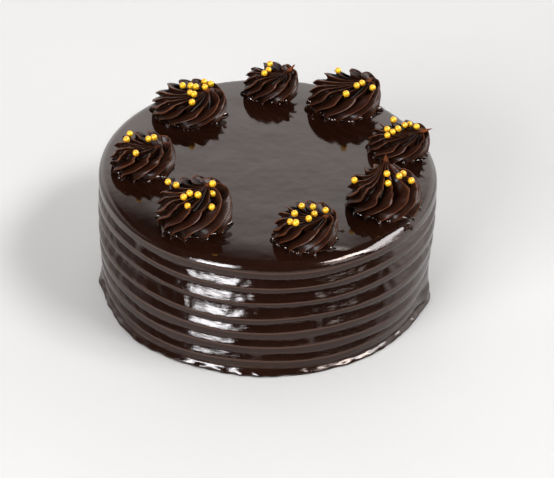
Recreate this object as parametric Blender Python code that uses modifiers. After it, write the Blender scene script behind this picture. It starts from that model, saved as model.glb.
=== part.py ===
"""A bento cake: a small round chocolate cake under poured glaze, with a combed side.

Eight piped rosettes of dark truffle cream, large and small in turn, stand in a ring
on its top, and small sugar pearls are scattered over each of them.
Units are metres, +Z is up, and the origin is the middle of the cake's underside.
The front of the cake, as it is usually shown, faces -Y.
"""

import math
from typing import NamedTuple

import bmesh
import bpy
import numpy as np
from mathutils.bvhtree import BVHTree

MM = 0.001

# The glazed cake
CAKE_RADIUS = 62.5 * MM
CAKE_HEIGHT = 50.7 * MM
FOOT_RADIUS = 60.6 * MM
TAPER_START = 36.0 * MM  # the side draws in below this height
TAPER_POWER = 1.3
RIM_RADIUS = 3.1 * MM  # the rim is a quarter circle of this radius
SAG = 0.4 * MM  # the top sinks by this much towards the rim
SAG_WIDTH = 12.5 * MM
RIM_STEPS = 4
TOP_RINGS = (24.0 * MM, 46.9 * MM, 54.0 * MM)

# The comb leaves ridges with an upright band from a crest to a lip. Below the lip the wall
# steps in, and from there it slopes out to the next crest.
CRESTS = (47.4 * MM, 40.5 * MM, 33.9 * MM, 26.4 * MM, 19.6 * MM, 12.9 * MM, 6.6 * MM)
LIPS = (44.6 * MM, 38.2 * MM, 31.5 * MM, 23.9 * MM, 16.5 * MM, 9.5 * MM, 3.3 * MM)
STEP_HEIGHT = 0.8 * MM  # height of the step in below a lip
GROOVE_SLOPE = 0.60  # depth of a step, as a share of the sloping height below it
FOOT_BEAD_HEIGHT = 1.2 * MM  # glaze gathers in a low bead round the foot
FOOT_BEAD_BULGE = 0.4 * MM
CAKE_COLUMNS = 68

# The hand leaves the side a little out of round, and the ridges a little out of level
OUT_OF_ROUND = 0.35 * MM
OUT_OF_LEVEL = 0.35 * MM

# Glaze that ran down and set at the foot: (bearing, middle height, half width, half height, bulge)
DRIPS = (
    (-12.0, 4.0 * MM, 6.0 * MM, 6.0 * MM, 2.2 * MM),
    (186.0, 2.5 * MM, 4.0 * MM, 3.0 * MM, 1.2 * MM),
    (222.0, 1.0 * MM, 12.0 * MM, 3.0 * MM, 1.2 * MM),
)

# Meshes that touch keep this gap
GAP = 0.3 * MM

# The rosettes: each is one turn of a star nozzle, drawn to a tip on its right
FOOT_TUCK = 0.10  # how much narrower the foot is than the belly
FOOT_TUCK_HEIGHT = 1.5 * MM
# Each crest winds round on its way up, and first turns back a little above its foot
TWIST_SWING = 0.75  # how much more a crest winds at the right than on average
TWIST_SKEW = 0.5  # how much sooner the winding rises than it falls, going round from the right
HOOK = math.radians(26.0)  # how far a crest turns back just above its foot
HOOK_WAY = 0.14  # and over which share of the way up
GROOVE = 0.55  # groove depth, as a share of the space between two crests
LOOPED_SIDE = math.radians(150.0)  # where the crests are rounded loops, with shallow grooves
SHALLOW_LOOPS = 0.4
CROWDING = 0.3  # how much closer the feet of the crests are at the front left than at the back right
CROWDED_SIDE = math.radians(245.0)
SPACING_JITTER = 0.14  # how unevenly the crests are spaced
CREST_JITTER = 0.15  # how unevenly deep the grooves are
DRAPE_HEIGHT = 4.0 * MM  # below this height a rosette follows the rounding of the rim
COLUMN_SHARES = (0.0, 0.14, 0.36, 0.68)  # of the way from one crest to the next
GROOVE_FORM = (0.0, 0.75, 1.0, 0.55)  # and the share of the groove's depth there
ROWS = (0.0, 0.09, 0.22, 0.36, 0.50, 0.66, 0.82, 0.93)  # on the way from foot to tip
UNDERSIDE_RINGS = (0.80, 0.55)  # under a foot that reaches onto the rounding of the rim


class Rosette(NamedTuple):
    """The sizes of one rosette, in millimetres, with its places measured right, back and up."""

    name: str
    place: tuple  # its middle, from the middle of the cake
    half: tuple  # half width and half depth
    shoulder: float  # height of the shoulder
    inner: float  # the shoulder's share of the half width
    tip: tuple  # the tip, from the rosette's middle
    crown: float  # power by which the crown climbs from the shoulder to the tip
    tail: tuple  # how far the pulled-off end reaches beyond the tip
    crests: int
    twist: float  # degrees by which a crest winds round from foot to tip
    pearls: tuple = ()  # each pearl, right and back from the rosette's middle


ROSETTES = (
    Rosette(
        "rosette_back_left", (-30.5, 34.8), (14.6, 12.8), 9.2, 0.72, (7.2, 0.3, 10.4), 1.6,
        (0.8, 0.2, 0.6), 12, 80,
        ((-2.5, 3.5), (0.5, 3.5), (2.5, 2), (5.5, 7), (6, 1), (8, 7), (0.5, -2), (2, -3), (1.5, -8)),
    ),
    Rosette(
        "rosette_back", (0.2, 50.4), (10.8, 9.3), 9.9, 0.70, (6.2, -0.5, 9.8), 1.6,
        (3.0, 2.0, 2.6), 11, 75,
        ((-0.5, 4.5), (-1, 0.5), (-2.5, -2.5)),
    ),
    Rosette(
        "rosette_back_right", (28.2, 41.6), (14.1, 12.0), 11.8, 0.72, (9.4, 0.3, 12.4), 1.5,
        (0.6, 0.2, 0.4), 12, 75,
        ((-2.5, 6.5), (6.5, -2.5), (4.5, -4), (10.5, -4), (0.5, -9.5)),
    ),
    Rosette(
        "rosette_right", (48.4, 12.8), (11.8, 10.4), 8.8, 0.70, (7.2, -1.0, 9.2), 1.6,
        (5.0, -0.5, 2.0), 12, 75,
        ((-2, 7), (-4.5, 0), (-0.5, 0), (2, 2.5), (4, 5.5), (6.5, 3), (-2.5, -2), (-4.5, -4)),
    ),
    Rosette(
        "rosette_front_right", (42.4, -23.0), (14.1, 13.0), 11.6, 0.62, (0.0, 1.0, 19.6), 1.9,
        (-0.1, 0.2, 1.6), 12, 60,
        ((0.5, -2.5), (5, -1.5), (6.5, 1.5), (9.5, -1), (1, -4.5), (-11, -2)),
    ),
    Rosette(
        "rosette_front", (14.1, -45.8), (11.8, 10.8), 11.2, 0.70, (7.0, 0.0, 10.0), 1.6,
        (0.8, 0.2, 0.5), 12, 85,
        ((-1.5, 4), (2.5, 4), (7, 2), (-4, -1.5), (3, -0.5), (1, -4), (-5.5, -6), (-3.5, -7)),
    ),
    Rosette(
        "rosette_front_left", (-25.8, -36.4), (14.0, 13.0), 12.8, 0.72, (5.0, 2.2, 14.6), 1.4,
        (0.4, 0.2, 0.6), 12, 85,
        (
            (-9.5, 5), (-6.5, 2.5), (6.5, 2), (6.5, -1), (-1.5, -3), (-3.5, -5), (1.5, -3.5),
            (-2, -8), (6.5, -7.5),
        ),
    ),
    Rosette(
        "rosette_left", (-46.0, -2.6), (12.4, 11.2), 10.6, 0.66, (5.3, 0.6, 8.6), 1.6,
        (0.6, 0.2, 0.4), 11, 60,
        ((-5, 6.5), (-6, 2.5), (2, 3), (4, 4), (-2, -7.5)),
    ),
)

PEARL_RADIUS = 1.25 * MM
PEARL_SINK = 0.35  # share of its radius that a pearl sinks into the cream
PEARL_SIDES = 6
PEARL_RINGS = 4
PEARL_DROP_HEIGHT = 30.0 * MM  # above the top of the cake, where a pearl is let down from
PEARL_DROP_STEP = 0.05 * MM


def clear_scene():
    """Remove whatever the file opened with."""
    for thing in list(bpy.data.objects):
        bpy.data.objects.remove(thing, do_unlink=True)


def new_collection(name):
    """Add a collection to the scene."""
    collection = bpy.data.collections.new(name)
    bpy.context.scene.collection.children.link(collection)
    return collection


def new_material(name, colour, roughness, coat=0.0):
    """One plain finish."""
    material = bpy.data.materials.new(name)
    material.use_nodes = True
    shader = material.node_tree.nodes["Principled BSDF"]
    shader.inputs["Base Color"].default_value = (*colour, 1.0)
    shader.inputs["Roughness"].default_value = roughness
    shader.inputs["Coat Weight"].default_value = coat
    return material


def new_object(name, mesh, material, collection):
    """Put a mesh into the scene as a smooth-shaded object with one finish."""
    thing = bpy.data.objects.new(name, mesh)
    collection.objects.link(thing)
    mesh.materials.append(material)
    mesh.shade_smooth()
    return thing


def applied(thing):
    """Replace an object's mesh by what its modifiers make of it."""
    graph = bpy.context.evaluated_depsgraph_get()
    mesh = bpy.data.meshes.new_from_object(thing.evaluated_get(graph))
    thing.modifiers.clear()
    thing.data = mesh
    return mesh


def side_radius(height):
    """Radius of the ridges: straight above TAPER_START and drawn in below it."""
    share = max(0.0, (TAPER_START - height) / TAPER_START)
    return CAKE_RADIUS - (CAKE_RADIUS - FOOT_RADIUS) * share**TAPER_POWER


def rim_drop(radius):
    """How far the glaze lies below the flat top: a slow sag by a parabola, then a quarter circle."""
    arc_start = CAKE_RADIUS - RIM_RADIUS
    sag = np.clip((radius - (arc_start - SAG_WIDTH)) / SAG_WIDTH, 0.0, 1.0)
    inside = np.clip((radius - arc_start) / RIM_RADIUS, 0.0, 0.98)
    return SAG * sag**2 + RIM_RADIUS * (1.0 - np.sqrt(1.0 - inside**2))


def rim_profile():
    """Points from the flat top round to the first ridge."""
    arc_start = CAKE_RADIUS - RIM_RADIUS
    radii = [0.0, *TOP_RINGS]
    for step in range(RIM_STEPS):
        radii.append(arc_start + RIM_RADIUS * math.sin(0.5 * math.pi * step / RIM_STEPS))
    return [(radius, CAKE_HEIGHT - float(rim_drop(radius))) for radius in radii]


def ridge_profile(crest, lip, depth):
    """One ridge: its crest, its lip and the step in below the lip."""
    return [
        (side_radius(crest), crest),
        (side_radius(lip), lip),
        (side_radius(lip - STEP_HEIGHT) - depth, lip - STEP_HEIGHT),
    ]


def foot_profile():
    """Below the last ridge the glaze ends in a low bead on the flat underside."""
    bead = FOOT_RADIUS + FOOT_BEAD_BULGE
    return [(bead, FOOT_BEAD_HEIGHT), (bead - 0.3 * MM, 0.0), (0.0, 0.0)]


def cake_profile():
    """The whole outline of the cake, from the middle of the top down to the underside."""
    points = rim_profile()
    for crest, lip, next_crest in zip(CRESTS, LIPS, (*CRESTS[1:], FOOT_BEAD_HEIGHT)):
        points += ridge_profile(crest, lip, GROOVE_SLOPE * (lip - next_crest - STEP_HEIGHT))
    return points + foot_profile()


def by_hand(points):
    """Push the turned side out of round and the ridges out of level, and add the drips.

    Both are sums of two slow waves round the cake that change with height, and they
    fade out on the top and at the underside. A drip is a smooth round bulge.
    """
    bearing = np.arctan2(points[:, 1], points[:, 0])
    radius = np.hypot(points[:, 0], points[:, 1])
    height = points[:, 2].copy()
    on_side = np.clip((radius - 0.85 * CAKE_RADIUS) / (0.1 * CAKE_RADIUS), 0.0, 1.0)
    free = on_side * np.clip(height / (4.0 * MM), 0.0, 1.0)
    below_rim = free * np.clip((CAKE_HEIGHT - height) / (6.0 * MM), 0.0, 1.0)
    level = height / (10.0 * MM)
    push = np.sin(2.0 * bearing + 0.6 * level + 0.5) + 0.6 * np.sin(5.0 * bearing - level)
    lift = np.sin(3.0 * bearing - 0.9 * level + 1.0) + 0.6 * np.sin(7.0 * bearing + 1.7 * level)
    grow = OUT_OF_ROUND * push * below_rim
    for middle, drip_height, half_width, half_height, bulge in DRIPS:
        away = np.angle(np.exp(1j * (bearing - math.radians(middle)))) * CAKE_RADIUS
        spread = (away / half_width) ** 2 + ((height - drip_height) / half_height) ** 2
        grow += bulge * np.exp(-spread) * on_side
    scale = (radius + grow) / np.maximum(radius, 1e-9)
    points[:, :2] *= scale[:, None]
    points[:, 2] += OUT_OF_LEVEL * lift * below_rim
    return points


def make_cake(material, collection):
    """Turn the outline round the axis, then leave it as uneven as a hand does."""
    mesh = bpy.data.meshes.new("cake_outline")
    outline = [(radius, 0.0, height) for radius, height in cake_profile()]
    mesh.from_pydata(outline, [(i, i + 1) for i in range(len(outline) - 1)], [])
    cake = new_object("cake_body", mesh, material, collection)
    turn = cake.modifiers.new("turn", "SCREW")
    turn.steps = turn.render_steps = CAKE_COLUMNS
    turn.use_merge_vertices = True
    turn.merge_threshold = 0.00001
    solid = applied(cake)
    points = np.array([vertex.co for vertex in solid.vertices])
    solid.vertices.foreach_set("co", by_hand(points).ravel())
    solid.name = "cake_body"
    solid.shade_smooth()
    solid.set_sharp_from_angle(angle=math.radians(60.0))
    return cake


def crest_columns(rosette, random):
    """Angles of a rosette's columns, and how deep each lies below the crests, as a share of the
    usual depth of a groove. The crests are unevenly spaced, and closest at the front left."""
    count = rosette.crests
    starts = (np.arange(count) + SPACING_JITTER * random.uniform(-1.0, 1.0, count)) * 2.0 * math.pi / count
    starts -= CROWDING * np.sin(starts - CROWDED_SIDE)
    widths = np.diff(np.append(starts, starts[0] + 2.0 * math.pi))
    angles = starts[:, None] + widths[:, None] * np.array(COLUMN_SHARES)
    uneven = widths * count / (2.0 * math.pi) * (1.0 + CREST_JITTER * random.uniform(-1.0, 1.0, count))
    groove = np.array(GROOVE_FORM) * uneven[:, None]
    looped = np.clip(np.cos(angles - LOOPED_SIDE), 0.0, 1.0)
    return angles.ravel(), (groove * (1.0 - SHALLOW_LOOPS * looped)).ravel()


def rosette_outline(rosette, way):
    """Share of the half width, and height, on the way (0 to 1) from the foot to the tip.

    The first half is a squarish quarter ellipse up to the shoulder, and the second
    half climbs inwards to the tip by a power of the distance from the shoulder.
    """
    turn = math.pi * np.minimum(way, 0.5)
    climb = np.clip(2.0 * way - 1.0, 0.0, 1.0)
    width = rosette.inner + (1.0 - rosette.inner) * np.cos(turn) ** 0.8
    width = width - rosette.inner * climb
    height = rosette.shoulder * np.sin(turn) ** 0.85
    height = height + (rosette.tip[2] - rosette.shoulder) * climb**rosette.crown
    return width, height * MM


def outward_direction(rosette, way, mean_half):
    """The outline's own outward direction at each way, its sideways and its upward part, and the
    length of the outline for each unit of the way."""
    step = 0.0001
    after, before = np.minimum(way + step, 1.0), np.maximum(way - step, 0.0)
    width_after, height_after = rosette_outline(rosette, after)
    width_before, height_before = rosette_outline(rosette, before)
    inward = (width_before - width_after) * mean_half
    climb = height_after - height_before
    length = np.hypot(inward, climb)
    return climb / length, inward / length, length / (after - before)


def crest_winding(rosette, way, angles):
    """How far each column has wound round at each way, in radians, and how close together the
    columns have come. The winding grows with the way and is largest at the right. Just above
    the foot each column first turns back a little."""
    twist = math.radians(rosette.twist)
    skewed = angles - TWIST_SKEW * (1.0 - np.cos(angles))
    winding = twist * way[:, None] * (1.0 + TWIST_SWING * np.cos(skewed))
    winding = winding - HOOK * np.exp(-((way / HOOK_WAY) ** 2))[:, None]
    swing = TWIST_SWING * np.sin(skewed) * (1.0 - TWIST_SKEW * np.sin(angles))
    return winding, 1.0 - twist * way[:, None] * swing


def rosette_points(rosette, way, angles, groove):
    """The piped surface as rows of points, one row for each way and one column for each angle.

    Every column winds round as it climbs. Between two crests the wall is scooped along its
    own outward direction, and the depth follows the space between the two crests, measured
    square to them. The middle of a row slides towards the tip as the rows get narrower.
    """
    half = np.array(rosette.half) * MM
    width, height = rosette_outline(rosette, way)
    sideways, upward, pace = outward_direction(rosette, way, half.mean())
    foot = 0.5 + 0.5 * np.clip(way / 0.15, 0.0, 1.0)
    winding, closeness = crest_winding(rosette, way, angles)
    step = 0.0001
    turn = (crest_winding(rosette, way + step, angles)[0] - winding) / step
    slant = np.hypot(1.0, turn * (half.mean() * width / pace)[:, None])
    space = 2.0 * math.pi * half.mean() / rosette.crests * width[:, None] * closeness / slant
    cut = GROOVE * space * foot[:, None] * groove
    tuck = 1.0 - FOOT_TUCK * np.exp(-height / FOOT_TUCK_HEIGHT)
    reach = (width * tuck)[:, None] - cut * sideways[:, None] / half.mean()
    slide = (1.0 - width)[:, None] * np.array(rosette.tip[:2]) * MM
    middle = np.array(rosette.place) * MM + slide
    x = middle[:, :1] + half[0] * reach * np.cos(angles + winding)
    y = middle[:, 1:] + half[1] * reach * np.sin(angles + winding)
    rise = np.maximum(height[:, None] - cut * upward[:, None], 0.0)
    drape = np.clip(1.0 - rise / DRAPE_HEIGHT, 0.0, 1.0)
    z = CAKE_HEIGHT + GAP + rise - rim_drop(np.hypot(x, y)) * drape
    return np.stack([x, y, z], axis=-1)


def underside_rows(rosette, foot):
    """Rings across the underside, from the middle out, lying on the glaze at the usual gap.

    Only a foot that reaches onto the quarter circle of the rim needs them.
    """
    if np.hypot(foot[:, 0], foot[:, 1]).max() < CAKE_RADIUS - RIM_RADIUS:
        return np.empty((0, *foot.shape))
    middle = np.array(rosette.place) * MM
    rings = np.array([middle + (foot[:, :2] - middle) * share for share in sorted(UNDERSIDE_RINGS)])
    heights = CAKE_HEIGHT + GAP - rim_drop(np.hypot(rings[..., 0], rings[..., 1]))
    return np.concatenate([rings, heights[..., None]], axis=-1)


def lofted_mesh(name, rows, bottom, tip):
    """Skin rows of points into a closed mesh, with a fan from the bottom point and one to the tip."""
    mesh = bmesh.new()
    rings = [[mesh.verts.new(point) for point in row] for row in rows]
    below, above = mesh.verts.new(bottom), mesh.verts.new(tip)
    columns = len(rings[0])
    for column in range(columns):
        beside = (column + 1) % columns
        mesh.faces.new((below, rings[0][beside], rings[0][column]))
        mesh.faces.new((rings[-1][column], rings[-1][beside], above))
        for low, high in zip(rings, rings[1:]):
            mesh.faces.new((low[column], low[beside], high[beside], high[column]))
    result = bpy.data.meshes.new(name)
    mesh.to_mesh(result)
    mesh.free()
    return result


def pearl_centres(rosette, surface):
    """Where the pearls' middles are: each is lowered at its place until it has sunk into the cream."""
    centres = []
    for right, back in rosette.pearls:
        across, along = (rosette.place[0] + right) * MM, (rosette.place[1] + back) * MM
        height = CAKE_HEIGHT + PEARL_DROP_HEIGHT
        while surface.find_nearest((across, along, height))[3] > PEARL_RADIUS * (1.0 - PEARL_SINK):
            height -= PEARL_DROP_STEP
        centres.append((across, along, height))
    return centres


def add_pearls(thing, centres, material):
    """Fuse the pearls to their rosette with one union on a collection."""
    loose = new_collection(thing.name + "_pearls")
    for number, centre in enumerate(centres):
        ball = bmesh.new()
        bmesh.ops.create_uvsphere(ball, u_segments=PEARL_SIDES, v_segments=PEARL_RINGS, radius=PEARL_RADIUS)
        bmesh.ops.translate(ball, verts=ball.verts, vec=centre)
        mesh = bpy.data.meshes.new(f"{thing.name}_pearl_{number}")
        ball.to_mesh(mesh)
        ball.free()
        new_object(mesh.name, mesh, material, loose)
    union = thing.modifiers.new("pearls", "BOOLEAN")
    union.operation = "UNION"
    union.operand_type = "COLLECTION"
    union.collection = loose
    union.solver = "MANIFOLD"
    applied(thing)
    for pearl in list(loose.objects):
        bpy.data.objects.remove(pearl, do_unlink=True)
    bpy.data.collections.remove(loose)


def make_rosette(seed, rosette, cream, gold, collection):
    """Pipe one rosette and scatter its pearls."""
    columns = crest_columns(rosette, np.random.default_rng(seed))
    rows = rosette_points(rosette, np.array(ROWS), *columns)
    rows = np.concatenate([underside_rows(rosette, rows[0]), rows])
    bottom = np.append(np.array(rosette.place) * MM, CAKE_HEIGHT + GAP)
    tip = (np.array(rosette.tip) + rosette.tail) * MM + bottom
    thing = new_object(rosette.name, lofted_mesh(rosette.name, rows, bottom, tip), cream, collection)
    surface = BVHTree.FromObject(thing, bpy.context.evaluated_depsgraph_get())
    add_pearls(thing, pearl_centres(rosette, surface), gold)
    thing.data.set_sharp_from_angle(angle=math.radians(50.0))
    return thing


def main():
    """Build the whole cake."""
    clear_scene()
    parts = new_collection("bento_cake")
    glaze = new_material("glaze", (0.022, 0.011, 0.008), 0.08, coat=0.6)
    cream = new_material("truffle_cream", (0.045, 0.019, 0.013), 0.38)
    gold = new_material("gold_pearl", (0.85, 0.50, 0.04), 0.30)
    make_cake(glaze, parts)
    for seed, rosette in enumerate(ROSETTES):
        make_rosette(seed, rosette, cream, gold, parts)


main()
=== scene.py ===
"""The looks of a bento cake: poured chocolate glaze over a combed side, eight piped rosettes and
gold sugar pearls, on a pale studio floor. Units are metres, +Z is up, and the front faces -Y."""

import math
from typing import NamedTuple

import bpy
import numpy as np
from mathutils import Matrix, Vector
from mathutils.bvhtree import BVHTree


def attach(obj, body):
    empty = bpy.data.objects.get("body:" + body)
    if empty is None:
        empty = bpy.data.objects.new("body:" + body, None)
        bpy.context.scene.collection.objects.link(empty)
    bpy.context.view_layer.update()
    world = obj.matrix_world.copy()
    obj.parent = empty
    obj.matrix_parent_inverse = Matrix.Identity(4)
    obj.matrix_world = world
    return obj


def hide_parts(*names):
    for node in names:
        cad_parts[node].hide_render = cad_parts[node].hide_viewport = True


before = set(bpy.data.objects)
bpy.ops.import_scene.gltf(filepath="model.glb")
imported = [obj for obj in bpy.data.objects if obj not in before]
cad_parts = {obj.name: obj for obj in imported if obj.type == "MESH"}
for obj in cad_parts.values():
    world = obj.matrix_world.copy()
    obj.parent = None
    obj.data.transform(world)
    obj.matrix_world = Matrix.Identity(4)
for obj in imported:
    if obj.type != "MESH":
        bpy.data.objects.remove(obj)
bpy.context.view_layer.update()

# ---------------------------------------------------------------------------------------------
# The glazed cake: an uncut chocolate cake whose side was combed into rounded ridges, with
# chocolate glaze poured over it. The glaze rounds the rim, bridges the grooves here and there
# and gathers in a glossy bead round the foot.
# ---------------------------------------------------------------------------------------------

MM = 0.001
CAKE_RADIUS = 62.5 * MM
CAKE_HEIGHT = 50.7 * MM
FOOT_RADIUS = 60.6 * MM
TAPER_START = 36.0 * MM
TAPER_POWER = 1.3
RIM_RADIUS = 3.1 * MM
SAG = 0.4 * MM
SAG_WIDTH = 12.5 * MM
DEEP_SAG = 0.9 * MM  # how much deeper the glaze sags at the front left
DEEP_SAG_WIDTH = 15.0 * MM
DEEP_SAG_SIDE = math.radians(-131.0)
DEEP_SAG_REACH = 0.36  # radians to either side

# Where the glaze has run off the rim in a slope: (bearing, radians to either side, power of its fall)
RIM_SLOPES = (
    (math.radians(-42.0), 0.30, 1.5),
    (math.radians(-114.0), 0.32, 2.2),
)
SLOPE_FALL = 0.8  # how far a slope falls, as a share of the rim's radius
FALL_END = 0.98  # share of the way across the rim, beyond which the glaze falls no further

FOLD = 0.70 * MM  # height of the small fold in the glaze at the front right of the rim
FOLD_SIDE = math.radians(-65.0)
FOLD_REACH = 0.065  # radians to either side
FOLD_RADIUS = 58.3 * MM
FOLD_HALF_WIDTH = 1.2 * MM
FOLD_TURN = 16.0 * MM  # how much nearer to the edge the fold runs, for each radian to the right

CRESTS = np.array([47.4, 40.5, 33.9, 26.4, 19.6, 12.9, 6.6]) * MM  # upper edge of each ridge
LIPS = np.array([44.6, 38.2, 31.5, 23.9, 16.5, 9.5, 3.3]) * MM  # lower edge of each ridge
CREST_WANDER = 0.22 * MM
LIP_WANDER = 0.28 * MM
BAND_EDGE = 0.15 * MM  # how far below its crest a ridge's band begins
BAND_BULGE = 0.08 * MM  # how far the middle of the band stands out
LIP_START = 0.35 * MM  # above the lip, where the band begins to round
LIP_END = 0.05 * MM  # below the lip, where the band ends
LIP_ROUND = 0.12 * MM  # how far the wall is drawn in there

GROOVE_SLOPE = 0.60  # depth of a groove for its height
GROOVE_WANDER = 0.03
STEP_HEIGHT = 0.8 * MM  # height over which the wall turns in below a lip
STEP_MIDDLE = 0.3 * MM
STEP_MIDDLE_SHARE = 0.7  # share of the groove's depth that is reached there
RAGGED = 0.05  # unevenness of a groove's slope, as a share of its depth

# The rings of a groove's slope: (share of the way up from the next crest, share of the depth,
# share of the unevenness, columns by which the unevenness is shifted)
SLOPE_RINGS = (
    (0.45, 0.60, 1.0, 0),
    (0.12, 0.15, 0.5, 40),
)

# Glaze that fills grooves, which are numbered from the top: (first groove, last groove, bearing in
# degrees, half width, share of the depth)
FILLED = (
    (3, 5, -24.0, 17.0 * MM, 0.65),
    (2, 2, -20.0, 10.0 * MM, 0.35),
    (3, 3, -70.7, 0.8 * MM, 0.55),
    (4, 4, -73.5, 0.8 * MM, 0.5),
    (0, 0, -137.0, 1.6 * MM, 0.5),
    (5, 5, -92.0, 2.6 * MM, 0.35),
    (2, 2, 40.0, 2.0 * MM, 0.8),
    (4, 4, 75.0, 1.6 * MM, 0.8),
    (1, 2, 121.0, 2.4 * MM, 0.6),
    (5, 5, 158.0, 6.0 * MM, 0.6),
)

# The bead round the foot, from the last ridge down to the underside: height and inset of each ring
FOOT_RINGS = np.array([[2.6, 0.3], [2.0, -0.2], [1.1, -1.3], [0.3, -1.2], [0.0, -0.5], [0.0, 1.5]]) * MM
FOOT_WANDER = 0.26 * MM

# Set drips at the foot: (bearing in degrees, middle height, half width, half height, bulge)
DRIPS = (
    (-12.0, 4.0 * MM, 6.0 * MM, 6.0 * MM, 2.2 * MM),
    (186.0, 2.5 * MM, 4.0 * MM, 3.0 * MM, 1.2 * MM),
    (222.0, 1.0 * MM, 12.0 * MM, 3.0 * MM, 1.2 * MM),
)

OUT_OF_ROUND = 0.35 * MM
OUT_OF_LEVEL = 0.35 * MM
UNEVEN_FROM = 0.85 * CAKE_RADIUS  # where the unevenness of the side begins
UNEVEN_FADE = 0.1 * CAKE_RADIUS
FOOT_CALM = 4.0 * MM  # height over which it fades out towards the foot
RIM_CALM = 6.0 * MM  # and towards the top
WAVE_HEIGHT = 10.0 * MM  # height over which its waves turn by about one radian

CAKE_COLUMNS = 480
TOP_RING_COUNT = 16
TOP_RING_POWER = 0.35  # crowds the rings of the top towards the rim
RIM_RING_COUNT = 7
RIM_TURN = 0.46 * math.pi  # how far round the quarter circle the rings of the rim go
ROWS_PER_RING = 2.5

cake_bearing = np.linspace(0.0, 2.0 * math.pi, CAKE_COLUMNS, endpoint=False)[None, :]


def bell(bearing, middle, reach):
    """A smooth bump round the cake: a bell curve of the angle from its middle."""
    return np.exp(-((np.angle(np.exp(1j * (bearing - middle))) / reach) ** 2))


def bump_round(middle, half_width):
    """The same bump at every column, from a middle in degrees and a half width along the side."""
    return bell(cake_bearing, math.radians(middle), half_width / CAKE_RADIUS)


def rim_drop(radius, bearing):
    """How far the glaze lies below the flat top: a slow sag by a parabola, then a quarter circle.

    The sag is deeper at the front left, and at two places the quarter circle becomes a slope that
    falls by a power of the way across it. The fold stands up as a bell curve across its line.
    """
    arc_start = CAKE_RADIUS - RIM_RADIUS
    sag = np.clip((radius - (arc_start - SAG_WIDTH)) / SAG_WIDTH, 0.0, 1.0)
    deep = np.clip((radius - (arc_start - DEEP_SAG_WIDTH)) / DEEP_SAG_WIDTH, 0.0, 1.0)
    inside = np.clip((radius - arc_start) / RIM_RADIUS, 0.0, FALL_END)
    level = np.sqrt(1.0 - inside**2)
    edge = 1.0 - level
    for middle, reach, power in RIM_SLOPES:
        edge = edge + bell(bearing, middle, reach) * (SLOPE_FALL * inside**power - edge)
    deeper = DEEP_SAG * bell(bearing, DEEP_SAG_SIDE, DEEP_SAG_REACH) * level * deep**2
    line = FOLD_RADIUS + FOLD_TURN * np.angle(np.exp(1j * (bearing - FOLD_SIDE)))
    fold = FOLD * bell(bearing, FOLD_SIDE, FOLD_REACH) * np.exp(-(((radius - line) / FOLD_HALF_WIDTH) ** 2))
    return SAG * sag**2 + deeper + RIM_RADIUS * edge - fold


def side_radius(height):
    """Radius of the ridges: straight above TAPER_START, and drawn in by a power of the depth below it."""
    share = np.clip((TAPER_START - height) / TAPER_START, 0.0, 1.0)
    return CAKE_RADIUS - (CAKE_RADIUS - FOOT_RADIUS) * share**TAPER_POWER


def wander(lines, turns, seed, size, fall=1.0):
    """Unevenness left by hand, one line round the cake for each of 'lines': a sum of sines that run
    1 to 'turns' times round it, each weaker by its number of turns to the power 'fall'."""
    random = np.random.default_rng(seed)
    number = np.arange(1, turns + 1)[:, None]
    phase = random.uniform(0.0, 2.0 * math.pi, (lines, turns, 1))
    weight = random.normal(size=(lines, turns, 1)) / number**fall
    total = (weight * np.cos(number * cake_bearing + phase)).sum(axis=1)
    return size * total / math.sqrt(np.mean(total**2))


def side_rings():
    """Height, inset and sharpness of the control rings of the side, from the first ridge downwards.

    Each ridge is a nearly upright band from its crest to its lip, and both its edges are sharp.
    Under the lip the wall turns in to the groove, and slopes out again unevenly to the next crest.
    """
    count = len(CRESTS)
    crests = CRESTS[:, None] + wander(count, turns=9, seed=11, size=CREST_WANDER)
    lips = LIPS[:, None] + wander(count, turns=14, seed=12, size=LIP_WANDER, fall=0.7)
    uneven = 1.0 + wander(count, turns=10, seed=13, size=GROOVE_WANDER)
    grooves = GROOVE_SLOPE * (lips[:-1] - crests[1:] - STEP_HEIGHT) * uneven[:-1]
    for first, last, middle, half_width, share in FILLED:
        grooves[first : last + 1] *= 1.0 - share * bump_round(middle, half_width)
    ragged = wander(count, turns=90, seed=14, size=RAGGED, fall=0.2)
    rings = []
    for number, (crest, lip, rag) in enumerate(zip(crests, lips, ragged)):
        if number > 0:
            lip_above, groove = lips[number - 1], grooves[number - 1]
            rings.append((lip_above - STEP_MIDDLE, STEP_MIDDLE_SHARE * groove, 0.0))
            rings.append((lip_above - STEP_HEIGHT, groove, 0.0))
            for way_up, depth, unevenness, shift in SLOPE_RINGS:
                inset = (depth + unevenness * np.roll(rag, shift)) * groove
                rings.append((crest + way_up * (lip_above - crest), inset, 0.0))
        flush = 0.0 * cake_bearing[0]
        # the last value marks the ridge's edges, where the glaze gets its painted highlight
        rings.append((crest - BAND_EDGE, flush, 1.0))
        rings.append((0.5 * (crest + lip), flush - BAND_BULGE, 0.0))
        rings.append((lip + LIP_START, flush, 0.4))
        rings.append((lip - LIP_END, flush + LIP_ROUND, 1.0))
    height, inset, sharp = zip(*rings)
    return np.array(height), np.array(inset), np.array(sharp)


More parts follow.
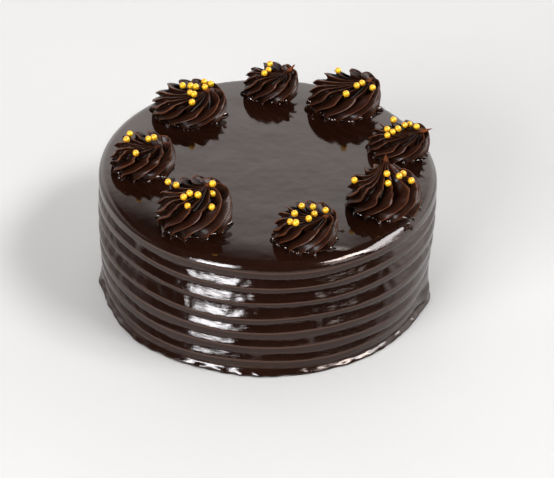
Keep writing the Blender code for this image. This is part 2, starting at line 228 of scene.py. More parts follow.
def by_hand(radius, height):
    """The side pushed out of round and the ridges out of level by slow waves, and the drips added."""
    on_side = np.clip((radius - UNEVEN_FROM) / UNEVEN_FADE, 0.0, 1.0)
    free = on_side * np.clip(height / FOOT_CALM, 0.0, 1.0)
    below_rim = free * np.clip((CAKE_HEIGHT - height) / RIM_CALM, 0.0, 1.0)
    level = height / WAVE_HEIGHT
    push = np.sin(2.0 * cake_bearing + 0.6 * level + 0.5) + 0.6 * np.sin(5.0 * cake_bearing - level)
    lift = np.sin(3.0 * cake_bearing - 0.9 * level + 1.0) + 0.6 * np.sin(7.0 * cake_bearing + 1.7 * level)
    grow = OUT_OF_ROUND * push * below_rim
    for middle, drip_height, half_width, half_height, bulge in DRIPS:
        upright = np.exp(-(((height - drip_height) / half_height) ** 2))
        grow += bulge * bump_round(middle, half_width) * upright * on_side
    return radius + grow, height + OUT_OF_LEVEL * lift * below_rim


def smooth_rows(rings):
    """Rows along a smooth curve through rings of control values: a uniform quadratic B-spline."""
    spans = len(rings) - 2
    way = np.linspace(0.0, spans, int(spans * ROWS_PER_RING) + 1)
    span = np.minimum(way.astype(int), spans - 1)
    part = (way - span)[:, None]
    first, second, third = rings[span], rings[span + 1], rings[span + 2]
    return 0.5 * (1.0 - part) ** 2 * first + (0.5 + part * (1.0 - part)) * second + 0.5 * part**2 * third


def glazed_surface():
    """The whole skin of the cake as rows of points, and the share 'crest' of each point."""
    arc_start = CAKE_RADIUS - RIM_RADIUS
    top = arc_start * np.linspace(0.0, 1.0, TOP_RING_COUNT, endpoint=False)[1:] ** TOP_RING_POWER
    rim = arc_start + RIM_RADIUS * np.sin(np.linspace(0.0, RIM_TURN, RIM_RING_COUNT))
    upper = np.append(top, rim)[:, None] + 0.0 * cake_bearing
    height, inset, sharp = side_rings()
    foot = FOOT_RINGS[:, :, None] + 0.0 * cake_bearing
    foot[1:5, 1] += wander(4, turns=70, seed=15, size=FOOT_WANDER, fall=0.3)
    side_height = np.vstack([height, foot[:, 0]])
    radius = np.vstack([upper, side_radius(side_height) - np.vstack([inset, foot[:, 1]])])
    height = np.vstack([CAKE_HEIGHT - rim_drop(upper, cake_bearing), side_height])
    radius, height = by_hand(radius, height)
    sharp = np.concatenate([np.zeros(len(upper)), sharp, np.zeros(len(foot))])[:, None]
    radius, height = smooth_rows(radius), smooth_rows(height)
    crest = smooth_rows(sharp + 0.0 * cake_bearing)
    return np.stack([radius * np.cos(cake_bearing), radius * np.sin(cake_bearing), height], axis=-1), crest


def capped_faces(count, columns):
    """Faces over rows that close on themselves, with a fan to one more point at either end."""
    index = np.arange(count * columns).reshape(count, columns)
    beside = np.roll(index, -1, axis=1)
    faces = np.stack([index[:-1], index[1:], beside[1:], beside[:-1]], axis=-1).reshape(-1, 4).tolist()
    faces += [(index.size, a, b) for a, b in zip(index[0], beside[0])]
    faces += [(index.size + 1, b, a) for a, b in zip(index[-1], beside[-1])]
    return faces


def smooth_mesh(name, points, faces):
    """A mesh with smooth shading."""
    mesh = bpy.data.meshes.new(name)
    mesh.from_pydata(points, [], faces)
    mesh.shade_smooth()
    return mesh


def capped_mesh(name, rows, first, last):
    """A closed mesh over rows of points, from the first cap's point to the last one's."""
    points = np.vstack([rows.reshape(-1, 3), first, last])
    return smooth_mesh(name, points, capped_faces(*rows.shape[:2]))


def write_crest(mesh, crest):
    """Store the share 'crest' of each point, which the materials read: 1 on a thin edge, 0 off it."""
    mesh.attributes.new("crest", "FLOAT", "POINT").data.foreach_set("value", crest)


def placed(mesh, material):
    """An object at the origin for the mesh, in its material."""
    thing = bpy.data.objects.new(mesh.name, mesh)
    bpy.context.scene.collection.objects.link(thing)
    mesh.materials.append(material)
    return thing


def new_shader(name):
    """A material with its node tree, its shader and its Object coordinates."""
    material = bpy.data.materials.new(name)
    material.use_nodes = True
    tree = material.node_tree
    place = tree.nodes.new("ShaderNodeTexCoord").outputs["Object"]
    return material, tree, tree.nodes["Principled BSDF"], place


def crest_share(tree):
    """The share 'crest' that the mesh holds."""
    node = tree.nodes.new("ShaderNodeAttribute")
    node.attribute_name = "crest"
    return node.outputs["Fac"]


def noise(tree, place, size, detail=3.0, roughness=0.5):
    """Procedural noise with features of the given size in metres."""
    node = tree.nodes.new("ShaderNodeTexNoise")
    node.inputs["Scale"].default_value = 1.0 / size
    node.inputs["Detail"].default_value = detail
    node.inputs["Roughness"].default_value = roughness
    tree.links.new(place, node.inputs["Vector"])
    return node.outputs["Fac"]


def ramp(tree, value, low, high, start, end, smooth=False):
    """The value's range from 'start' to 'end' stretched over 'low' to 'high', evenly or smoothly."""
    node = tree.nodes.new("ShaderNodeMapRange")
    node.interpolation_type = "SMOOTHSTEP" if smooth else "LINEAR"
    node.inputs["From Min"].default_value = start
    node.inputs["From Max"].default_value = end
    node.inputs["To Min"].default_value = low
    node.inputs["To Max"].default_value = high
    tree.links.new(value, node.inputs["Value"])
    return node.outputs["Result"]


def mixed_colour(tree, share, first, second):
    """A colour that goes from the first to the second with the share. Each is fixed or a socket."""
    node = tree.nodes.new("ShaderNodeMix")
    node.data_type = "RGBA"
    for name, colour in (("A", first), ("B", second)):
        if isinstance(colour, tuple):
            node.inputs[name].default_value = (*colour, 1.0)
        else:
            tree.links.new(colour, node.inputs[name])
    tree.links.new(share, node.inputs["Factor"])
    return node.outputs["Result"]


def bump(tree, height, distance, strength=None, below=None):
    """A bump of the given depth in metres, its strength and the normal below it from sockets."""
    node = tree.nodes.new("ShaderNodeBump")
    node.inputs["Distance"].default_value = distance
    tree.links.new(height, node.inputs["Height"])
    if strength is not None:
        tree.links.new(strength, node.inputs["Strength"])
    if below is not None:
        tree.links.new(below, node.inputs["Normal"])
    return node.outputs["Normal"]


GLAZE_DARK = (0.0080, 0.0024, 0.0012)
GLAZE_LIGHT = (0.0110, 0.0036, 0.0020)
GLAZE_EDGE_HIGHLIGHT = (0.050, 0.024, 0.016)  # painted highlight: a light line along the edges of the ridges
# painted reflection: tints the glaze's gloss warm, the colour a gold cake board would give it
GLAZE_WARM_REFLECTION_TINT = (1.0, 0.84, 0.77, 1.0)
RIPPLE_FLATNESS = 5.0  # how much longer than high the ripples of the side are
RIPPLE_DEPTH = 0.12 * MM
CLOUD_DEPTH = 0.25 * MM
CALM_TOP = 0.22  # share of the ripple's strength on the top


def glaze_material():
    """Dark chocolate glaze: nearly black brown under a hard gloss, uneven in colour and in gloss, with
    a painted highlight along the edges of the ridges, and rippled, more on the side than on the top."""
    material, tree, shader, place = new_shader("chocolate_glaze")
    clouds = ramp(tree, noise(tree, place, 18.0 * MM), 0.0, 1.0, 0.35, 0.65)
    # painted highlight: the glaze is lighter where 'crest' marks the edges of the ridges
    thin = ramp(tree, crest_share(tree), 0.0, 1.0, 0.5, 0.8)
    colour = mixed_colour(tree, thin, mixed_colour(tree, clouds, GLAZE_DARK, GLAZE_LIGHT), GLAZE_EDGE_HIGHLIGHT)
    tree.links.new(colour, shader.inputs["Base Color"])
    dull = ramp(tree, noise(tree, place, 9.0 * MM, 4.0), 0.05, 0.12, 0.35, 0.7)
    tree.links.new(dull, shader.inputs["Roughness"])
    shader.inputs["IOR"].default_value = 1.5
    # painted reflection: the warm tint stands in for reflections of a gold board
    shader.inputs["Specular Tint"].default_value = GLAZE_WARM_REFLECTION_TINT
    combed = tree.nodes.new("ShaderNodeMapping")
    combed.inputs["Scale"].default_value = (1.0, 1.0, RIPPLE_FLATNESS)
    tree.links.new(place, combed.inputs["Vector"])
    ripple = noise(tree, combed.outputs["Vector"], 4.0 * MM, 4.0, 0.6)
    split = tree.nodes.new("ShaderNodeSeparateXYZ")
    tree.links.new(place, split.inputs["Vector"])
    strength = ramp(tree, split.outputs["Z"], 1.0, CALM_TOP, CAKE_HEIGHT - 3.0 * MM, CAKE_HEIGHT - SAG)
    cloudy = bump(tree, noise(tree, place, 24.0 * MM), CLOUD_DEPTH)
    tree.links.new(bump(tree, ripple, RIPPLE_DEPTH, strength, cloudy), shader.inputs["Normal"])
    return material


glaze = glaze_material()
skin, skin_crest = glazed_surface()
cake_mesh = capped_mesh("glazed_cake", skin, (0.0, 0.0, CAKE_HEIGHT), (0.0, 0.0, 0.0))
write_crest(cake_mesh, np.append(skin_crest.ravel(), [0.0, 0.0]))
glazed_cake = placed(cake_mesh, glaze)
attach(glazed_cake, "root")
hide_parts("cake_body")

# ---------------------------------------------------------------------------------------------
# The rosettes: dark truffle cream piped through an open star nozzle in one turn each, and
# pulled off to the right. The nozzle's teeth leave thin winding crests with deep round grooves.
# ---------------------------------------------------------------------------------------------

FOOT_TUCK = 0.10
FOOT_TUCK_HEIGHT = 1.5 * MM
OUTLINE_OUT = 0.8  # powers that make the outline's quarter ellipse squarish
OUTLINE_UP = 0.85
TWIST_SWING = 0.75  # how much more a crest winds at the right than on average
TWIST_SKEW = 0.5  # how much sooner the winding rises than it falls, going round from the right
HOOK = math.radians(26.0)  # how far a crest turns back just above its foot
HOOK_WAY = 0.14
BODY_END = 0.93  # where the body ends and the pulled-off tail begins
TAIL_ROWS = 12
TAIL_POWER = 0.8
RUFFLES = 15.0  # radians of a crest's wavering from foot to tip
FINE_RUFFLES = 2.6 * RUFFLES
FINE_SHARE = 0.4  # share of the wavering that the fine ruffles take
GROOVE = 0.80  # depth of a groove, as a share of the space between its two crests
GROOVE_SKEW = 0.58
FOOT_GROOVE = 0.5  # share of the grooves' depth that is left at the foot
FOOT_GROOVE_WAY = 0.15
THIN_CREST = 0.12  # how rounded a crest is, as a share of half the space between two crests
ROUND_CREST = 1.0  # the same at the back left
ROUND_SPREAD = 0.6  # power by which that rounding fades to the sides
SHALLOW_LOOPS = 0.4  # how much shallower the grooves are there
LOOPED_SIDE = math.radians(150.0)
LEAN = 0.32  # how far a crest leans over its groove, as a share of the space between two crests
LEAN_WAY = 0.2
CROWDING = 0.3  # how much closer the feet of the crests are at the front left than at the back right
CROWDED_SIDE = math.radians(245.0)
SPACING_JITTER = 0.14
CREST_JITTER = 0.15
DRAPE_HEIGHT = 4.0 * MM
SETTLE = 0.15 * MM  # how far a foot sinks into the glaze

COLUMNS_PER_CREST = 16
COLUMN_CROWDING = 0.11  # how much closer together the columns are next to a crest
ROSETTE_ROWS = 90


class Rosette(NamedTuple):
    """The sizes of one rosette, in millimetres, with its places measured right, back and up."""

    name: str
    place: tuple  # its middle, from the middle of the cake
    half: tuple  # half width and half depth
    shoulder: float  # height of the shoulder
    inner: float  # the shoulder's share of the half width
    tip: tuple  # the tip, from the rosette's middle
    crown: float  # power by which the crown climbs from the shoulder to the tip
    tail: tuple  # how far the pulled-off end reaches beyond the tip
    crests: int
    twist: float  # degrees by which a crest winds round from foot to tip
    ruffle: float  # degrees by which a crest wavers on its way up
    pearls: tuple  # each pearl, right and back from the rosette's middle


ROSETTES = (
    Rosette(
        "rosette_back_left", (-30.5, 34.8), (14.6, 12.8), 9.2, 0.72, (7.2, 0.3, 10.4), 1.6,
        (0.8, 0.2, 0.6), 12, 80, 1.4,
        ((-2.5, 3.5), (0.5, 3.5), (2.5, 2), (5.5, 7), (6, 1), (8, 7), (0.5, -2), (2, -3), (1.5, -8)),
    ),
    Rosette(
        "rosette_back", (0.2, 50.4), (10.8, 9.3), 9.9, 0.70, (6.2, -0.5, 9.8), 1.6,
        (3.0, 2.0, 2.6), 11, 75, 1.8,
        ((-0.5, 4.5), (-1, 0.5), (-2.5, -2.5)),
    ),
    Rosette(
        "rosette_back_right", (28.2, 41.6), (14.1, 12.0), 11.8, 0.72, (9.4, 0.3, 12.4), 1.5,
        (0.6, 0.2, 0.4), 12, 75, 1.2,
        ((-2.5, 6.5), (6.5, -2.5), (4.5, -4), (10.5, -4), (0.5, -9.5)),
    ),
    Rosette(
        "rosette_right", (48.4, 12.8), (11.8, 10.4), 8.8, 0.70, (7.2, -1.0, 9.2), 1.6,
        (5.0, -0.5, 2.0), 12, 75, 2.0,
        ((-2, 7), (-4.5, 0), (-0.5, 0), (2, 2.5), (4, 5.5), (6.5, 3), (-2.5, -2), (-4.5, -4)),
    ),
    Rosette(
        "rosette_front_right", (42.4, -23.0), (14.1, 13.0), 11.6, 0.62, (0.0, 1.0, 19.6), 1.9,
        (-0.1, 0.2, 1.6), 12, 60, 2.0,
        ((0.5, -2.5), (5, -1.5), (6.5, 1.5), (9.5, -1), (1, -4.5), (-11, -2)),
    ),
    Rosette(
        "rosette_front", (14.1, -45.8), (11.8, 10.8), 11.2, 0.70, (7.0, 0.0, 10.0), 1.6,
        (0.8, 0.2, 0.5), 12, 85, 1.4,
        ((-1.5, 4), (2.5, 4), (7, 2), (-4, -1.5), (3, -0.5), (1, -4), (-5.5, -6), (-3.5, -7)),
    ),
    Rosette(
        "rosette_front_left", (-25.8, -36.4), (14.0, 13.0), 12.8, 0.72, (5.0, 2.2, 14.6), 1.4,
        (0.4, 0.2, 0.6), 12, 85, 1.4,
        (
            (-9.5, 5), (-6.5, 2.5), (6.5, 2), (6.5, -1), (-1.5, -3), (-3.5, -5), (1.5, -3.5),
            (-2, -8), (6.5, -7.5),
        ),
    ),
    Rosette(
        "rosette_left", (-46.0, -2.6), (12.4, 11.2), 10.6, 0.66, (5.3, 0.6, 8.6), 1.6,
        (0.6, 0.2, 0.4), 11, 60, 4.0,
        ((-5, 6.5), (-6, 2.5), (2, 3), (4, 4), (-2, -7.5)),
    ),
)


def crest_columns(rosette, per_crest, random):
    """Angles of the columns, each one's share of the way to the next crest, how deep its groove
    is, and where on its way up it wavers.

    The crests are unevenly spaced, and the columns are closer together next to a crest.
    """
    count = rosette.crests
    starts = (np.arange(count) + SPACING_JITTER * random.uniform(-1.0, 1.0, count)) * 2.0 * math.pi / count
    starts -= CROWDING * np.sin(starts - CROWDED_SIDE)
    widths = np.diff(np.append(starts, starts[0] + 2.0 * math.pi))
    even = np.arange(per_crest) / per_crest
    share = (even - COLUMN_CROWDING * np.sin(2.0 * math.pi * even)) ** (1.0 / GROOVE_SKEW)
    angles = starts[:, None] + widths[:, None] * share
    uneven = widths * count / (2.0 * math.pi) * (1.0 + CREST_JITTER * random.uniform(-1.0, 1.0, count))
    phase = random.uniform(0.0, 2.0 * math.pi, count)
    phase = phase[:, None] + (np.roll(phase, -1) - phase)[:, None] * share
    return angles.ravel(), np.tile(share, count), np.repeat(uneven, per_crest), phase.ravel()


def rosette_outline(rosette, way):
    """Share of the half width, and height, on the way (0 to 1) from the foot to the tip.

    The first half is a squarish quarter ellipse up to the shoulder, and the second
    half climbs inwards to the tip by a power of the distance from the shoulder.
    """
    turn = math.pi * np.minimum(way, 0.5)
    climb = np.clip(2.0 * way - 1.0, 0.0, 1.0)
    width = rosette.inner + (1.0 - rosette.inner) * np.cos(turn) ** OUTLINE_OUT
    width = width - rosette.inner * climb
    height = rosette.shoulder * np.sin(turn) ** OUTLINE_UP
    height = height + (rosette.tip[2] - rosette.shoulder) * climb**rosette.crown
    return width, height * MM


def outward_direction(rosette, way, mean_half):
    """The outline's own outward direction at each way, its sideways and its upward part, and the
    length of the outline for each unit of the way."""
    step = 0.0001
    before, after = np.maximum(way - step, 0.0), np.minimum(way + step, 1.0)
    width_before, height_before = rosette_outline(rosette, before)
    width_after, height_after = rosette_outline(rosette, after)
    inward = (width_before - width_after) * mean_half
    climb = height_after - height_before
    length = np.hypot(inward, climb)
    return climb / length, inward / length, length / (after - before)


def groove_form(share, angles):
    """How deep the groove is between two crests, from 0 to 1: a parabola whose deepest line lies
    nearer to the first crest, so that its wall is steep and the other slopes. The crests are thin
    in front, and rounded into shallow loops at the back left."""
    skewed = share**GROOVE_SKEW
    across = np.maximum(2.0 * np.minimum(skewed, 1.0 - skewed), 0.0)
    looped = np.clip(np.cos(angles - LOOPED_SIDE), 0.0, 1.0)
    rounding = THIN_CREST + (ROUND_CREST - THIN_CREST) * looped**ROUND_SPREAD
    across = (np.hypot(across, rounding) - rounding) / (np.hypot(1.0, rounding) - rounding)
    return (1.0 - SHALLOW_LOOPS * looped) * (1.0 - (1.0 - across) ** 2)


def rosette_points(rosette, way, angles, share, uneven, phase):
    """The piped surface as rows of points, one row for each way and one column for each angle.

    Every column winds round as it climbs, and turns back a little just above its foot. Between
    two crests the wall is scooped along its own outward direction by a skewed parabola, whose
    depth follows the space between them. The crests lean over the grooves and waver by two sines.
    The middle of a row slides towards the tip as the rows get narrower.
    """
    half = np.array(rosette.half) * MM
    width, height = rosette_outline(rosette, way)
    sideways, upward, pace = outward_direction(rosette, way, half.mean())
    upwards = way[:, None]

    twist = math.radians(rosette.twist)
    skewed = angles - TWIST_SKEW * (1.0 - np.cos(angles))
    winding = twist * upwards * (1.0 + TWIST_SWING * np.cos(skewed))
    winding = winding - HOOK * np.exp(-((upwards / HOOK_WAY) ** 2))
    slant = np.gradient(winding, way, axis=0) * (half.mean() * width / pace)[:, None]
    swing = TWIST_SWING * np.sin(skewed) * (1.0 - TWIST_SKEW * np.sin(angles))
    closer = 1.0 - twist * upwards * swing

    space = 2.0 * math.pi * half.mean() / rosette.crests * width[:, None] * closer / np.hypot(1.0, slant)
    groove = groove_form(share, angles)
    scooped = FOOT_GROOVE + (1.0 - FOOT_GROOVE) * np.clip(upwards / FOOT_GROOVE_WAY, 0.0, 1.0)
    cut = GROOVE * space * scooped * (groove * uneven)
    tuck = 1.0 - FOOT_TUCK * np.exp(-height / FOOT_TUCK_HEIGHT)
    reach = (width * tuck)[:, None] - cut * sideways[:, None] / half.mean()

    coarse = (1.0 - FINE_SHARE) * np.sin(RUFFLES * upwards + phase)
    waver = coarse + FINE_SHARE * np.sin(FINE_RUFFLES * upwards + 3.0 * phase)
    lean = LEAN * 2.0 * math.pi / rosette.crests * (1.0 - groove) * np.clip(upwards / LEAN_WAY, 0.0, 1.0)
    winding = winding + math.radians(rosette.ruffle) * waver + lean

    middle = np.array(rosette.place) * MM + (1.0 - width)[:, None] * np.array(rosette.tip[:2]) * MM
    x = middle[:, :1] + half[0] * reach * np.cos(angles + winding)
    y = middle[:, 1:] + half[1] * reach * np.sin(angles + winding)
    rise = np.maximum(height[:, None] - cut * upward[:, None], 0.0)
    drape = np.clip(1.0 - rise / DRAPE_HEIGHT, 0.0, 1.0)
    z = CAKE_HEIGHT - SETTLE + rise - rim_drop(np.hypot(x, y), np.arctan2(y, x)) * drape
    return np.stack([x, y, z], axis=-1)


def pulled_tail(last_row, tip):
    """Rows of the pulled-off tail: the last row shrinks by a power as its middle goes to the tip."""
    way = (np.arange(TAIL_ROWS) + 1.0)[:, None, None] / (TAIL_ROWS + 1.0)
    middle = last_row.mean(axis=0)
    return middle + (tip - middle) * way + (last_row - middle) * (1.0 - way) ** TAIL_POWER


# painted shade: the cream is darkened towards the bottom of each groove
CREAM_GROOVE_SHADE = (0.0016, 0.0006, 0.0003)
CREAM_BODY = (0.0160, 0.0052, 0.0028)
# painted highlight: the lighter, redder colour of the thin crests and the tail, uneven in patches
CREAM_EDGE_HIGHLIGHT_DIM = (0.070, 0.022, 0.012)
CREAM_EDGE_HIGHLIGHT_BRIGHT = (0.215, 0.064, 0.020)
CREAM_TINT = (1.0, 0.68, 0.55, 1.0)
CREAM_GRAIN = 0.06 * MM


def cream_material():
    """Truffle cream: satin dark brown, with painted shade in the grooves and a lighter, redder painted
    highlight on the thin crests and the tail.
    """
    material, tree, shader, place = new_shader("truffle_cream")
    crest = crest_share(tree)
    # painted highlight: where 'crest' is near 1, on the crests and the tail
    thin = ramp(tree, crest, 0.0, 1.0, 0.78, 1.0)
    # painted shade: fades out from the groove's bottom towards the crests
    groove_shade_fade = ramp(tree, crest, 0.0, 1.0, 0.05, 0.54)
    patches = ramp(tree, noise(tree, place, 5.0 * MM), 0.0, 1.0, 0.35, 0.65)
    edge = mixed_colour(tree, patches, CREAM_EDGE_HIGHLIGHT_DIM, CREAM_EDGE_HIGHLIGHT_BRIGHT)
    body = mixed_colour(tree, groove_shade_fade, CREAM_GROOVE_SHADE, CREAM_BODY)
    tree.links.new(mixed_colour(tree, thin, body, edge), shader.inputs["Base Color"])
    dull = ramp(tree, noise(tree, place, 3.0 * MM), 0.27, 0.40, 0.35, 0.65)
    tree.links.new(dull, shader.inputs["Roughness"])
    shader.inputs["Specular IOR Level"].default_value = 0.06
    shader.inputs["Coat Weight"].default_value = 0.12
    shader.inputs["Coat Roughness"].default_value = 0.24
    shader.inputs["Specular Tint"].default_value = CREAM_TINT
    grain = noise(tree, place, 0.7 * MM, 5.0, 0.7)
    tree.links.new(bump(tree, grain, CREAM_GRAIN), shader.inputs["Normal"])
    return material


BODY_CREST = 0.88  # share 'crest' of the body's crests, and the tail has 1
TAIL_HIGHLIGHT_START = 6  # rows below the tail where the painted highlight of the crests begins to cover it
TAIL_HIGHLIGHT_ROWS = 10


def pipe_rosette(seed, rosette, cream):
    """One rosette as a closed mesh, whose share 'crest' is high on a crest, low in a groove and 1
    all over the thin tail."""
    angles, share, uneven, phase = crest_columns(rosette, COLUMNS_PER_CREST, np.random.default_rng(seed))
    way = np.linspace(0.0, BODY_END, ROSETTE_ROWS)
    rows = rosette_points(rosette, way, angles, share, uneven, phase)
    bottom = np.append(np.array(rosette.place) * MM, CAKE_HEIGHT - SETTLE)
    tip = (np.array(rosette.tip) + rosette.tail) * MM + bottom
    rows = np.concatenate([rows, pulled_tail(rows[-1], tip)])
    mesh = capped_mesh(rosette.name.replace("rosette", "piped"), rows[::-1], tip, bottom)
    # the tail is given the crests' painted highlight
    tail = np.clip((np.arange(len(rows)) - ROSETTE_ROWS + TAIL_HIGHLIGHT_START) / TAIL_HIGHLIGHT_ROWS, 0.0, 1.0)
    crest = np.maximum(BODY_CREST * (1.0 - groove_form(share, angles)), tail[::-1, None])
    write_crest(mesh, np.append(crest.ravel(), [1.0, 0.0]))
    thing = placed(mesh, cream)
    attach(thing, "root")
    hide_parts(rosette.name)
    return thing


cream = cream_material()
piped = [pipe_rosette(seed, rosette, cream) for seed, rosette in enumerate(ROSETTES)]

# ---------------------------------------------------------------------------------------------
# The glaze round the feet: the rosettes were piped before the glaze had set, so it creeps up
# their feet in an uneven glossy fillet.
# ---------------------------------------------------------------------------------------------

FILLET_WIDTH = 1.1 * MM
FILLET_HEIGHT = 0.9 * MM
FILLET_STEPS = 9
FILLET_OVERLAP = 0.5 * MM  # how far inside the foot the fillet begins
FILLET_SKIRT = 0.4 * MM  # how much less than its width its buried outer edge reaches out
FILLET_ROOT = 1.4 * MM  # how far inside the foot its buried inner edge lies
FILLET_SINK = 0.25 * MM  # how deep both of them are buried
FILLET_COLUMNS_PER_CREST = 12
FOOT_WAYS = np.array([0.02, 0.03])  # the foot's own row on the way up, and one more for its slope
BEAD_TURNS = range(3, 26)  # how often each sine of the swelling goes round a foot
BEAD_MEAN = 0.9
BEAD_SWELL = 0.2
BEAD_LIMITS = (0.15, 2.2)


def fillet_rows(seed, rosette):
    """Rows round a foot: a quarter circle from the foot out to the glaze, then back below it.

    Its width and height swell into beads round the foot by a sum of sines.
    """
    random = np.random.default_rng(100 + seed)
    columns = crest_columns(rosette, FILLET_COLUMNS_PER_CREST, np.random.default_rng(seed))
    foot = rosette_points(rosette, FOOT_WAYS, *columns)[0]
    middle = np.array(rosette.place) * MM
    outward = foot[:, :2] - middle
    length = np.hypot(*outward.T)[:, None]
    turns = np.array(BEAD_TURNS)[:, None]
    weight = random.normal(size=turns.shape)
    phase = random.uniform(0.0, 6.3, turns.shape)
    swell = (weight * np.cos(turns * columns[0] + phase)).sum(axis=0)
    swell = np.clip(BEAD_MEAN + BEAD_SWELL * swell, *BEAD_LIMITS)
    rows = []
    for turn in np.linspace(0.0, 0.5 * math.pi, FILLET_STEPS):
        out = FILLET_WIDTH * swell * math.sin(turn) - FILLET_OVERLAP
        rows.append((out, FILLET_HEIGHT * swell * math.cos(turn)))
    rows.append((FILLET_WIDTH * swell - FILLET_SKIRT, -FILLET_SINK))
    rows.append((0.0 * swell - FILLET_ROOT, -FILLET_SINK))
    points = []
    for out, up in rows:
        flat = middle + outward * (1.0 + out[:, None] / length)
        drop = rim_drop(np.hypot(*flat.T), np.arctan2(flat[:, 1], flat[:, 0]))
        points.append(np.column_stack([flat, CAKE_HEIGHT + up - drop]))
    return np.array(points)


def ring_mesh(name, rings):
    """One mesh of closed rings: rows of points that close on themselves both ways."""
    points, faces = [], []
    for rows in rings:
        index = np.arange(rows.shape[0] * rows.shape[1]).reshape(rows.shape[:2]) + sum(map(len, points))
        below, beside = np.roll(index, -1, axis=0), np.roll(index, -1, axis=1)
        diagonal = np.roll(below, -1, axis=1)
        faces += np.stack([index, below, diagonal, beside], axis=-1).reshape(-1, 4).tolist()
        points.append(rows.reshape(-1, 3))
    return smooth_mesh(name, np.vstack(points), faces)


fillets = [fillet_rows(seed, rosette) for seed, rosette in enumerate(ROSETTES)]
glazed_feet = placed(ring_mesh("glazed_feet", fillets), glaze)
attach(glazed_feet, "root")

# ---------------------------------------------------------------------------------------------
# The pearls: small sugar balls with a pearly gold coat, scattered over the rosettes by hand and
# pressed a little into the soft cream.
# ---------------------------------------------------------------------------------------------

PEARL_RADIUS = 1.22 * MM
PEARL_SIZES = (0.93, 1.05)  # smallest and largest, as a share of that radius
PEARL_SINK = 0.35  # how deep a pearl is pressed in, as a share of the same
PEARL_DROP_HEIGHT = 30.0 * MM
PEARL_DROP_STEP = 0.05 * MM
BALL_SIDES = 24
BALL_RINGS = 14
PEARL_DEEP = (0.66, 0.31, 0.006)
PEARL_BRIGHT = (0.82, 0.46, 0.011)


def pearl_centres(rosette, surface):
    """Where the pearls' middles are: each is lowered at its place until it has sunk into the cream."""
    centres = []
    for right, back in rosette.pearls:
        across, along = (rosette.place[0] + right) * MM, (rosette.place[1] + back) * MM
        height = CAKE_HEIGHT + PEARL_DROP_HEIGHT
        while surface.find_nearest((across, along, height))[3] > PEARL_RADIUS * (1.0 - PEARL_SINK):
            height -= PEARL_DROP_STEP
        centres.append((across, along, height))
    return centres


def balls_mesh(name, centres, halves):
    """One mesh of stretched balls: rings of latitude round each centre, closed by a fan at both poles."""
    polar = math.pi * np.arange(1, BALL_RINGS) / BALL_RINGS
    sides = 2.0 * math.pi * np.arange(BALL_SIDES) / BALL_SIDES
    x, y = (np.sin(polar)[:, None] * part(sides) for part in (np.cos, np.sin))
    z = np.cos(polar)[:, None] + 0.0 * sides
    ball = np.vstack([np.stack([x, y, z], axis=-1).reshape(-1, 3), (0.0, 0.0, 1.0), (0.0, 0.0, -1.0)])
    ball_faces = capped_faces(*x.shape)
    points, faces = [], []
    for number, (centre, half) in enumerate(zip(centres, halves)):
        points.append(centre + ball * half)
        faces += [[corner + number * len(ball) for corner in face] for face in ball_faces]
    return smooth_mesh(name, np.vstack(points), faces)


def pearl_material():
    """A pearly gold sugar coat."""
    material, tree, shader, place = new_shader("gold_pearl")
    tone = ramp(tree, noise(tree, place, 2.0 * MM), 0.0, 1.0, 0.35, 0.65)
    tree.links.new(mixed_colour(tree, tone, PEARL_DEEP, PEARL_BRIGHT), shader.inputs["Base Color"])
    shader.inputs["Roughness"].default_value = 0.42
    shader.inputs["Metallic"].default_value = 0.35
    shader.inputs["Coat Weight"].default_value = 0.25
    return material


depths = bpy.context.evaluated_depsgraph_get()
centres = []
for rosette, thing in zip(ROSETTES, piped):
    centres += pearl_centres(rosette, BVHTree.FromObject(thing, depths))
sizes = PEARL_RADIUS * np.random.default_rng(7).uniform(*PEARL_SIZES, len(centres))
pearls = placed(balls_mesh("gold_pearls", centres, sizes), pearl_material())
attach(pearls, "root")

# ---------------------------------------------------------------------------------------------
# The crumbs: specks of cream that fell beside two rosettes and lie in the set glaze, and a small
# lumpy dab that slipped from the foot of another onto the rim.
# ---------------------------------------------------------------------------------------------

CRUMB_CENTRES = np.array([
    (-16.5, 25.5, 50.7), (27.4, -40.6, 50.6), (25.9, -40.5, 50.5),
    (51.1, -34.6, 49.2), (52.4, -33.8, 48.1), (49.6, -34.9, 49.8), (50.2, -36.0, 49.0),
]) * MM
CRUMB_HALVES = np.array([
    (0.8, 1.1, 0.35), (0.9, 0.9, 0.4), (1.2, 0.5, 0.35),
    (1.3, 1.2, 0.9), (0.7, 0.9, 1.1), (0.9, 0.7, 0.6), (0.6, 0.7, 0.5),
]) * MM
CRUMB_CREST = 0.6  # their share 'crest', which gives them the colour of the cream's body

crumb_mesh = balls_mesh("cream_crumbs", CRUMB_CENTRES, CRUMB_HALVES)
write_crest(crumb_mesh, np.full(len(crumb_mesh.vertices), CRUMB_CREST))
crumbs = placed(crumb_mesh, cream)
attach(crumbs, "root")

# ---------------------------------------------------------------------------------------------
# The studio: a pale floor and soft pale walls, a low window at the front left, and high soft
# lights at the right and overhead. Two panels that show only in gloss give the glaze its shine.
# ---------------------------------------------------------------------------------------------

FLOOR_HALF = 2.5
FLOOR_DARK = (0.500, 0.493, 0.488)
FLOOR_LIGHT = (0.518, 0.511, 0.506)


def floor_material():
    """A plain pale matt floor."""
    material, tree, shader, place = new_shader("pale_floor")
    tone = noise(tree, place, 60.0 * MM)
    tree.links.new(mixed_colour(tree, tone, FLOOR_DARK, FLOOR_LIGHT), shader.inputs["Base Color"])
    shader.inputs["Roughness"].default_value = 0.7
    shader.inputs["Specular IOR Level"].default_value = 0.2
    return material


floor_corners = [(x * FLOOR_HALF, y * FLOOR_HALF, 0.0) for x, y in ((-1, -1), (1, -1), (1, 1), (-1, 1))]
floor_mesh = bpy.data.meshes.new("floor")
floor_mesh.from_pydata(floor_corners, [], [(0, 1, 2, 3)])
floor = placed(floor_mesh, floor_material())

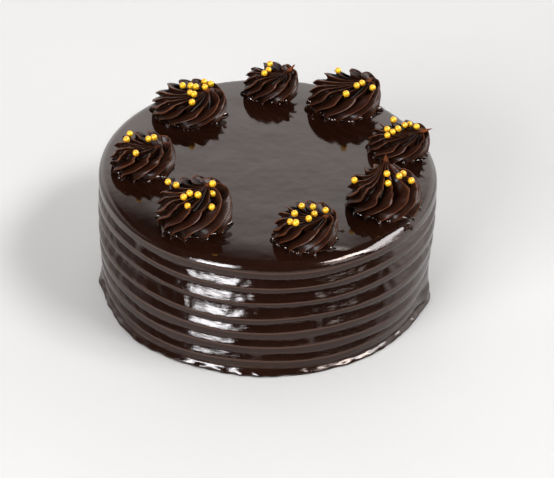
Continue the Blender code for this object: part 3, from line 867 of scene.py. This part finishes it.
WALL_BRIGHTNESS = 1.87
ROOM_BRIGHTNESS = 0.05  # in front and overhead
WALL_BEGINS = (-0.25, 0.10)  # share of the way towards the back, where the pale wall fades in
WALL_ENDS = (0.50, 0.72)  # share of the way up, where it fades out
LEFT_CORNER = (-0.97, -0.62)  # share of the way to the right, over which the left end is dim
LEFT_SHARE = 0.15


def product(tree, first, second):
    """Two values multiplied."""
    node = tree.nodes.new("ShaderNodeMath")
    node.operation = "MULTIPLY"
    tree.links.new(first, node.inputs[0])
    tree.links.new(second, node.inputs[1])
    return node.outputs["Value"]


def light_the_room():
    """The world: a pale wall along the back and the sides, dim at the left end, in front and overhead."""
    world = bpy.data.worlds.new("studio")
    bpy.context.scene.world = world
    world.use_nodes = True
    tree = world.node_tree
    direction = tree.nodes.new("ShaderNodeSeparateXYZ")
    tree.links.new(tree.nodes.new("ShaderNodeTexCoord").outputs["Generated"], direction.inputs["Vector"])
    back = ramp(tree, direction.outputs["Y"], 0.0, 1.0, *WALL_BEGINS, smooth=True)
    up = ramp(tree, direction.outputs["Z"], 1.0, 0.0, *WALL_ENDS, smooth=True)
    left = ramp(tree, direction.outputs["X"], LEFT_SHARE, 1.0, *LEFT_CORNER, smooth=True)
    brightness = tree.nodes.new("ShaderNodeMath")
    brightness.operation = "MULTIPLY_ADD"
    brightness.inputs[1].default_value = WALL_BRIGHTNESS
    brightness.inputs[2].default_value = ROOM_BRIGHTNESS
    tree.links.new(product(tree, product(tree, back, up), left), brightness.inputs[0])
    background = tree.nodes["Background"]
    background.inputs["Color"].default_value = (1.0, 1.0, 1.0, 1.0)
    tree.links.new(brightness.outputs["Value"], background.inputs["Strength"])


LIGHTS_AIM = Vector((0.0, 0.0, 0.04))
WHITE = (1.0, 1.0, 1.0)
WINDOW_BLUE = (0.86, 1.0, 1.12)
PANEL_BLUE = (0.90, 1.0, 1.08)


def softbox(name, place, width, height, power, colour=WHITE, matt=True, gloss=True):
    """A soft box of light that faces the cake, and lights matt surfaces, shines in gloss, or both."""
    light = bpy.data.lights.new(name, "AREA")
    light.shape = "RECTANGLE"
    light.size = width
    light.size_y = height
    light.energy = power
    light.color = colour
    lamp = bpy.data.objects.new(name, light)
    lamp.visible_diffuse = matt
    lamp.visible_glossy = gloss
    lamp.location = place
    lamp.rotation_euler = (LIGHTS_AIM - lamp.location).to_track_quat("-Z", "Y").to_euler()
    bpy.context.scene.collection.objects.link(lamp)


light_the_room()
softbox("window_left", (-1.24, -1.72, 0.90), 1.44, 1.20, 70.0, gloss=False)
softbox("window_shine", (-1.10, -1.61, 1.05), 0.92, 0.60, 62.0, WINDOW_BLUE, matt=False)
softbox("softbox_right", (1.60, -0.70, 2.10), 1.20, 0.60, 64.0)
softbox("shine_right", (2.03, 0.20, 1.90), 1.50, 0.85, 58.0, PANEL_BLUE, matt=False)
softbox("fill_right", (1.60, -1.30, 1.25), 0.9, 0.6, 8.0)
softbox("ceiling", (-0.60, 0.40, 2.60), 2.60, 2.20, 26.0, gloss=False)

CAMERA_LENS = 185.04  # millimetres
CAMERA_SENSOR = 36.0  # millimetres
CAMERA_ELEVATION = math.radians(35.30)
CAMERA_ROLL = math.radians(1.49)
CAMERA_DISTANCE = 1079.7 * MM
CAMERA_AIM = Vector((4.13, 8.38, 11.84)) * MM


def camera():
    """The view of the cake: from the front and above, a long lens, tilted a little."""
    lens = bpy.data.cameras.new("camera")
    lens.lens = CAMERA_LENS
    lens.sensor_width = CAMERA_SENSOR
    back = Vector((0.0, -math.cos(CAMERA_ELEVATION), math.sin(CAMERA_ELEVATION)))
    turn = back.to_track_quat("Z", "Y").to_matrix() @ Matrix.Rotation(CAMERA_ROLL, 3, "Z")
    view = bpy.data.objects.new("camera", lens)
    view.matrix_world = Matrix.Translation(CAMERA_AIM + back * CAMERA_DISTANCE) @ turn.to_4x4()
    bpy.context.scene.collection.objects.link(view)
    bpy.context.scene.camera = view


camera()
bpy.context.scene.view_settings.view_transform = "Standard"
